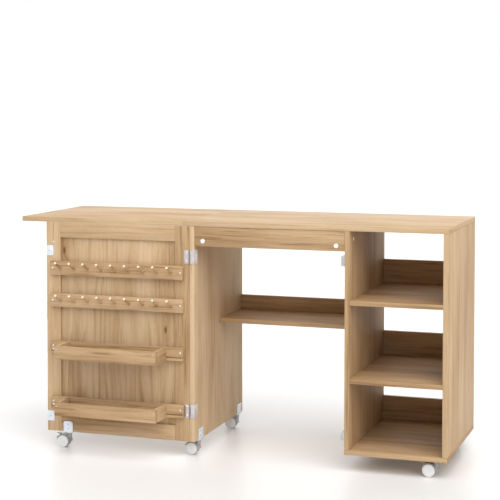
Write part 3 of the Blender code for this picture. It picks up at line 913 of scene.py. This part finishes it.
class SEWING_OT_locks(Operator):
    """Model the cam locks, the strike plates and the catches"""

    bl_idname = "sewing.locks"
    bl_label = "Cam locks and catches"

    def execute(self, context):
        fittings = context.scene.table_fittings
        plastic = plastic_finish("lock_plastic", fittings.plastic, 0.35)
        low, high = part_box("apron")
        z = low.z + 17 * MM
        apron = [aimed((x, low.y, z), FRONT, CAM_TURN) for x in ends(low, high, CAM_INSET)]
        low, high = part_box("partition")
        column = [aimed((high.x, low.y + 50 * MM, high.z - CAM_INSET), RIGHT, CAM_TURN)]
        for name, radius, places in (
            ("cam_locks_apron", fittings.cam, apron), ("cam_lock_column", fittings.small_cam, column),
        ):
            locks = copied(name, self.cam_model(radius), places)
            fitted(locks, "cabinet", plastic)
        self.strikes(fittings)
        self.catches(plastic_finish("catch_plastic", fittings.catch, 0.45), fittings)
        return {"FINISHED"}

    def cam_model(self, radius):
        """A flush disc with a raised rim, a cross recess and an arrow notch."""
        disc = turned("cam", [
            (radius, -0.4 * MM), (radius, 0.5 * MM), (radius * 0.95, 0.8 * MM),
            (radius * 0.80, 0.8 * MM), (radius * 0.76, 0.4 * MM), (radius * 0.3, 0.4 * MM),
        ], 40)
        reach, half, deep, over = radius * 0.45, radius * 0.09, 0.05 * MM, 2 * MM
        notch = block("notch", (-half, radius * 0.58, deep), (half, radius * 0.74, over))
        return cut(disc, *cross(reach, half, deep, over), notch)

    def strikes(self, fittings):
        plates = []
        for low, high in strike_boxes():
            plate = block("strike", low, high)
            with editing(plate):
                choose(plate, lambda edge: edge_run(edge).y > MM, "EDGE")
                bpy.ops.mesh.bevel(offset=3 * MM, segments=5)
            plates.append(softened(plate, 0.25 * MM))
        zinc = metal_finish("strike_zinc", fittings.zinc, 0.35, brushed=Z, metallic=0.5)
        fitted(joined("strike_plates", plates), "door", zinc)

    def catches(self, plastic, fittings):
        """Housings with two pole plates that stand out of the front face."""
        steel = metal_finish("pole_steel", fittings.steel, 0.35, brushed=Z)
        for level in LEVELS:
            node = f"catch_{level}"
            middle, low, high = middle_and_box(node)
            housing = softened(block(f"{node}_housing", low, high), 1.1 * MM, 3)
            mouth_low = Vector((low.x + 2.2 * MM, low.y - MM, low.z + 3 * MM))
            mouth_high = Vector((high.x - 2.2 * MM, low.y + 2 * MM, high.z - 3 * MM))
            mouth = block("mouth", mouth_low, mouth_high)
            slot_low = (low.x - MM, low.y + 14 * MM, middle.z - 1.7 * MM)
            slot_high = (low.x + 1.2 * MM, low.y + 24 * MM, middle.z + 1.7 * MM)
            cut(housing, mouth, block("slot", slot_low, slot_high))
            fitted(housing, "cabinet", plastic, [node])
            poles = []
            for x in (mouth_low.x + 0.5 * MM, mouth_high.x - 1.7 * MM):
                near = (x, low.y + 0.2 * MM, mouth_low.z + 0.5 * MM)
                far = (x + 1.2 * MM, low.y + 2.5 * MM, mouth_high.z - 0.5 * MM)
                poles.append(softened(block("pole", near, far), 0.2 * MM))
            fitted(joined(f"{node}_poles", poles), "cabinet", steel)


class SEWING_OT_hinges(Operator):
    """Finish the hinge leaves and the caster brackets with rounded edges"""

    bl_idname = "sewing.hinges"
    bl_label = "Hinges and brackets"

    def execute(self, context):
        fittings = context.scene.table_fittings
        satin = metal_finish("satin_steel", fittings.steel, 0.30, brushed=Z)
        # painted shade on the door hinges' knuckles, where the plates shade them
        barrel_shade = metal_finish("barrel_steel", darker(fittings.steel, 0.42), 0.45)
        zinc = metal_finish("bracket_zinc", fittings.zinc, 0.33, brushed=Z, metallic=0.5)
        for node in sorted(frame["nodes"]):
            if node.endswith(("_fixed", "_moving")):
                half = softened(from_frame(node, f"{node}_leaf"), 0.2 * MM, limit=40)
                half.data.materials.append(satin)
                if node.startswith("door_hinge"):
                    self.shade_barrel(half, barrel_shade)
                fitted(half, body_of(node), replaces=[node])
            elif node.endswith("_bracket"):
                plate = softened(from_frame(node, f"{node}_plate"), 0.4 * MM, limit=40)
                fitted(plate, body_of(node), zinc, [node])
        return {"FINISHED"}

    def shade_barrel(self, half, barrel_shade):
        """Painted shade round the pin of a door hinge, where the plates shade the knuckle: darker,
        rougher steel.
        """
        low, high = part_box("door_hinge_upper_moving")
        axis = Vector((high.x - BARREL_RADIUS, low.y + BARREL_RADIUS))

        def on_barrel(face):
            return (face.calc_center_median().to_2d() - axis).length < 1.05 * BARREL_RADIUS

        painted(half, barrel_shade, on_barrel)


class SEWING_OT_knob(Operator):
    """Turn the door's round knob"""

    bl_idname = "sewing.knob"
    bl_label = "Knob"

    def execute(self, context):
        fittings = context.scene.table_fittings
        middle, low, high = middle_and_box("door_knob")
        radius, tall = (high.x - low.x) / 2, high.y - low.y
        profile = [
            (0.64, 0), (0.64, 0.06), (0.58, 0.11), (0.46, 0.17), (0.43, 0.27), (0.44, 0.40),
            (0.52, 0.50), (0.72, 0.58), (0.90, 0.66), (0.985, 0.75), (1, 0.83), (0.975, 0.91),
            (0.91, 0.965), (0.82, 1), (0.74, 1), (0.66, 0.975), (0.50, 0.93), (0.30, 0.905),
            (0.12, 0.90),
        ]
        stations = [(share * radius, rise * tall) for share, rise in profile]
        knob = turned("round_knob", stations, 56)
        moved(knob, aimed((middle.x, low.y, middle.z), REAR))
        finish = metal_finish("knob_satin", fittings.steel, 0.26, metallic=0.75)
        fitted(knob, "door", finish, ["door_knob"])
        return {"FINISHED"}


# Casters ----------------------------------

CASTERS = ("door", "side_front", "side_rear", "column_front", "column_rear")
BRAKED = ("door", "side_front", "column_front")
HOOD_RADIUS, HOOD_START, HOOD_SWEEP = 23.5 * MM, math.radians(-5), math.radians(163)
HOOD_STEPS = 26
TRAIL, COLUMN_FLOOR = 20 * MM, 53 * MM
COLLAR_RADIUS, STEM_RADIUS = 8.2 * MM, 3.9 * MM
LEVER_RADIUS, LEVER_AIM = 2 * MM, math.radians(165)


def wheel_model(casters, radius, half):
    """One wheel on +Z, its outer face up: a grooved disc with a raised hub cap."""
    inner = half - casters.tread - 1.6 * MM
    back = inner - 1.4 * MM
    rim = [(0.30 * radius, back), (0.925 * radius, back), (radius, inner)]
    rim.append((radius, inner + casters.tread))
    face = [
        (0.985, 1), (0.93, 0.4), (0.87, 0.25), (0.845, 1.1), (0.80, 1.1), (0.77, 0.35),
        (0.60, 0.1), (0.34, 0.05), (0.31, 0.6), (0.26, 0.6), (0.22, 0), (0.06, 0),
    ]
    disc = [(share * radius, half - depth * MM) for share, depth in face]
    return turned("wheel", rim + disc, casters.sides)


class SEWING_OT_casters(Operator):
    """Model the five twin-wheel casters with hoods and brake levers"""

    bl_idname = "sewing.casters"
    bl_label = "Casters"

    def execute(self, context):
        casters = context.scene.table_casters
        self.white = plastic_finish("caster_white", casters.white, 0.30)
        self.grey = plastic_finish("caster_grey", casters.grey, 0.38)
        for name in CASTERS:
            self.wheels(name, casters)
            self.hood(name, casters)
            if name in BRAKED:
                self.lever(name)
        return {"FINISHED"}

    def wheels(self, name, casters):
        node = f"caster_{name}_wheels"
        axle, low, high = middle_and_box(node)
        radius, half = (high.z - low.z) / 2, (high.y - low.y) / 2
        facings = [aimed(axle, FRONT), aimed(axle, REAR)]
        pair = copied(f"{node}_discs", wheel_model(casters, radius, half), facings)
        pin = turned("axle", [(2.8 * MM, -half + 4 * MM), (2.8 * MM, half - 4 * MM)], 20)
        moved(pin, aimed(axle, FRONT))
        pair = joined(pair.name, [pair, pin])
        pair.data.materials.append(self.white)

        def on_tread(face):
            centre = face.calc_center_median() - axle
            return math.hypot(centre.x, centre.z) > 0.955 * radius and abs(centre.y) < half - MM

        painted(pair, self.grey, on_tread)
        fitted(pair, body_of(node), replaces=[node])

    def hood(self, name, casters):
        """A ribbed fender round the wheels, a web between them, a collar and the stem above it."""
        node = f"caster_{name}_hood"
        low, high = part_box(node)
        axle = middle_and_box(f"caster_{name}_wheels")[0]
        half = (high.y - low.y) / 2
        parts = [self.fender(axle, HOOD_RADIUS, half, casters.wall, 0)]
        for place in (-0.8, 0.8):
            rib = axle + REAR * (place * half)
            parts.append(self.fender(rib, HOOD_RADIUS + 0.35 * MM, 0.8 * MM, MM, 0.2))

        rim = HOOD_RADIUS - casters.wall / 2
        web = turned("web", [(rim, -2.3 * MM), (rim, 2.3 * MM)], casters.sides)
        moved(web, aimed(axle, FRONT))
        with editing(web):
            level = axle + DOWN * 5 * MM
            bpy.ops.mesh.bisect(plane_co=level, plane_no=DOWN, use_fill=True, clear_outer=True)
        parts.append(web)

        under_board = name in ("column_front", "column_rear")
        rest = COLUMN_FLOOR - 0.8 * MM if under_board else high.z - 3.5 * MM
        collar = turned("collar", [
            (COLLAR_RADIUS - MM, axle.z + 13 * MM), (COLLAR_RADIUS, axle.z + 24 * MM),
            (COLLAR_RADIUS, rest - MM), (COLLAR_RADIUS - 0.6 * MM, rest), (STEM_RADIUS, rest),
            (STEM_RADIUS, high.z - 0.4 * MM), (STEM_RADIUS - 0.4 * MM, high.z),
        ], 32)
        parts.append(moved(collar, Matrix.Translation((axle.x + TRAIL, axle.y, 0))))
        if name in BRAKED:
            parts += self.ears(name, axle)
        fitted(joined(f"{node}_shell", parts), body_of(node), self.grey, [node])

    def fender(self, axle, radius, half, wall, short):
        """A strip bent round the axle, shorter at each end by the angle short."""
        at = axle + RIGHT * (radius - wall / 2)
        strip = added("fender", bpy.ops.mesh.primitive_plane_add, size=1, location=at)
        with editing(strip):
            bpy.ops.transform.resize(value=(wall, 2 * half, 1), center_override=at)
            start, sweep = HOOD_START + short, HOOD_SWEEP - 2 * short
            bpy.ops.transform.rotate(value=start, orient_axis="Y", center_override=axle)
            bpy.ops.mesh.spin(steps=HOOD_STEPS, angle=sweep, center=axle, axis=REAR)
            face_outwards()
        return softened(strip, min(0.4 * MM, wall / 3), limit=50)

    def pivot(self, name):
        """The middle and half the length of the lever's barrel."""
        middle, low, high = middle_and_box(f"caster_{name}_lever")
        pivot = Vector((high.x - LEVER_RADIUS, middle.y, low.z + LEVER_RADIUS))
        return pivot, (high.y - low.y) / 2

    def ears(self, name, axle):
        """Two round-ended ears on the hood that hold the lever's barrel between them."""
        pivot, half = self.pivot(name)
        inward = axle - pivot
        turn = Matrix.Rotation(-math.atan2(inward.z, inward.x), 4, "Y")
        made = []

        def round_end(edge):
            return max(vert.co.x for vert in edge.verts) < 0 and edge_run(edge).y > MM

        for side in (-1, 1):
            ear = block("ear", (-2.3 * MM, -0.95 * MM, -2.3 * MM), (3.9 * MM, 0.95 * MM, 2.3 * MM))
            with editing(ear):
                choose(ear, round_end, "EDGE")
                bpy.ops.mesh.bevel(offset=2.1 * MM, segments=5)
            at = pivot + REAR * (side * (half + 1.25 * MM))
            made.append(moved(softened(ear, 0.25 * MM, limit=50), Matrix.Translation(at) @ turn))
        return made

    def lever(self, name):
        """A foot tab on its barrel, with three grip ribs."""
        node = f"caster_{name}_lever"
        pivot, half = self.pivot(name)
        soft = 0.3 * MM
        barrel = turned("barrel", [
            (LEVER_RADIUS - soft, -half), (LEVER_RADIUS, -half + soft),
            (LEVER_RADIUS, half - soft), (LEVER_RADIUS - soft, half),
        ], 20)
        moved(barrel, aimed(pivot, FRONT))
        tab = softened(block("tab", (0.5 * MM, -half, -MM), (11 * MM, half, MM)), 0.6 * MM, 3)
        ribs = []
        for x in (5.5 * MM, 7.3 * MM, 9.1 * MM):
            rib = block("rib", (x, -half + MM, 0.6 * MM), (x + 0.9 * MM, half - MM, 1.25 * MM))
            ribs.append(softened(rib, 0.2 * MM))
        foot = joined("foot", [tab, *ribs])
        moved(foot, Matrix.Translation(pivot) @ Matrix.Rotation(-LEVER_AIM, 4, "Y"))
        fitted(joined(f"{node}_foot", [barrel, foot]), body_of(node), self.grey, [node])


# Stage ------------------------------------

FLOOR_SIZE = 120


class SEWING_OT_stage(Operator):
    """Set the floor, the soft lights and the camera"""

    bl_idname = "sewing.stage"
    bl_label = "Stage"

    def execute(self, context):
        stage = context.scene.table_stage
        self.camera(context, stage)
        self.floor(stage)
        self.lights(context, stage)
        return {"FINISHED"}

    def camera(self, context, stage):
        tilt = math.pi / 2 - stage.pitch
        bpy.ops.object.camera_add(location=stage.eye, rotation=(tilt, 0, stage.yaw))
        camera = context.object
        camera.name = "camera"
        camera.data.lens = stage.lens
        camera.data.shift_x, camera.data.shift_y = stage.shift_x, stage.shift_y
        camera.data.clip_end = 200
        context.scene.camera = camera

    def floor(self, stage):
        low = (0, 0, -0.2 * MM)
        floor = added("floor", bpy.ops.mesh.primitive_plane_add, size=FLOOR_SIZE, location=low)
        plain = Finish("floor", {"Roughness": 0.38, "Specular IOR Level": 0.25})
        x, y, z = plain.place()
        cloud = plain.noise(x * 0.6, y * 0.6, z, detail=1)
        plain.feed("Base Color", plain.tint(cloud, stage.floor, darker(stage.floor, 0.99)))
        floor.data.materials.append(plain.material)

    def lights(self, context, stage):
        context.scene.view_settings.view_transform = "Standard"
        world = context.scene.world or bpy.data.worlds.new("studio")
        context.scene.world = world
        world.use_nodes = True
        tree = world.node_tree
        background = tree.nodes["Background"]
        background.inputs["Color"].default_value = (1, 1, 1, 1)
        path = tree.nodes.new("ShaderNodeLightPath")
        strength = tree.nodes.new("ShaderNodeMapRange")
        strength.inputs["To Min"].default_value = 1.0
        strength.inputs["To Max"].default_value = stage.sky
        tree.links.new(path.outputs["Is Diffuse Ray"], strength.inputs["Value"])
        tree.links.new(strength.outputs["Result"], background.inputs["Strength"])
        for name, side in (("key", stage.key_from), ("back", stage.back_from)):
            bpy.ops.object.light_add(type="SUN", location=(0, 0, 3))
            light = context.object
            light.name = f"soft_{name}_light"
            light.data.energy = getattr(stage, name)
            light.data.angle = stage.softness
            light.rotation_euler = Vector(side).to_track_quat("Z", "Y").to_euler()


# Add-on -----------------------------------

OPERATORS = (
    SEWING_OT_boards, SEWING_OT_racks, SEWING_OT_weave, SEWING_OT_hinges, SEWING_OT_locks,
    SEWING_OT_screws, SEWING_OT_knob, SEWING_OT_casters, SEWING_OT_stage,
)


class SEWING_PT_table(Panel):
    """Builds the table's pieces and holds their sizes and colours"""

    bl_idname = "SEWING_PT_table"
    bl_label = "Sewing Table"
    bl_space_type = "VIEW_3D"
    bl_region_type = "UI"
    bl_category = "Sewing Table"

    def draw(self, context):
        for operator in OPERATORS:
            self.layout.operator(operator.bl_idname)
        for name, group in SETTINGS.items():
            box = self.layout.box()
            box.label(text=group.__doc__)
            for field in group.__annotations__:
                box.prop(getattr(context.scene, name), field)


def register():
    for group in SETTINGS.values():
        bpy.utils.register_class(group)
    for name, group in SETTINGS.items():
        setattr(Scene, name, PointerProperty(type=group))
    for operator in OPERATORS:
        bpy.utils.register_class(operator)
    bpy.utils.register_class(SEWING_PT_table)


def unregister():
    bpy.utils.unregister_class(SEWING_PT_table)
    for operator in reversed(OPERATORS):
        bpy.utils.unregister_class(operator)
    for name in SETTINGS:
        delattr(Scene, name)
    for group in reversed(SETTINGS.values()):
        bpy.utils.unregister_class(group)


def main():
    register()
    for operator in OPERATORS:
        category, name = operator.bl_idname.split(".")
        getattr(getattr(bpy.ops, category), name)()


if __name__ == "__main__":
    main()
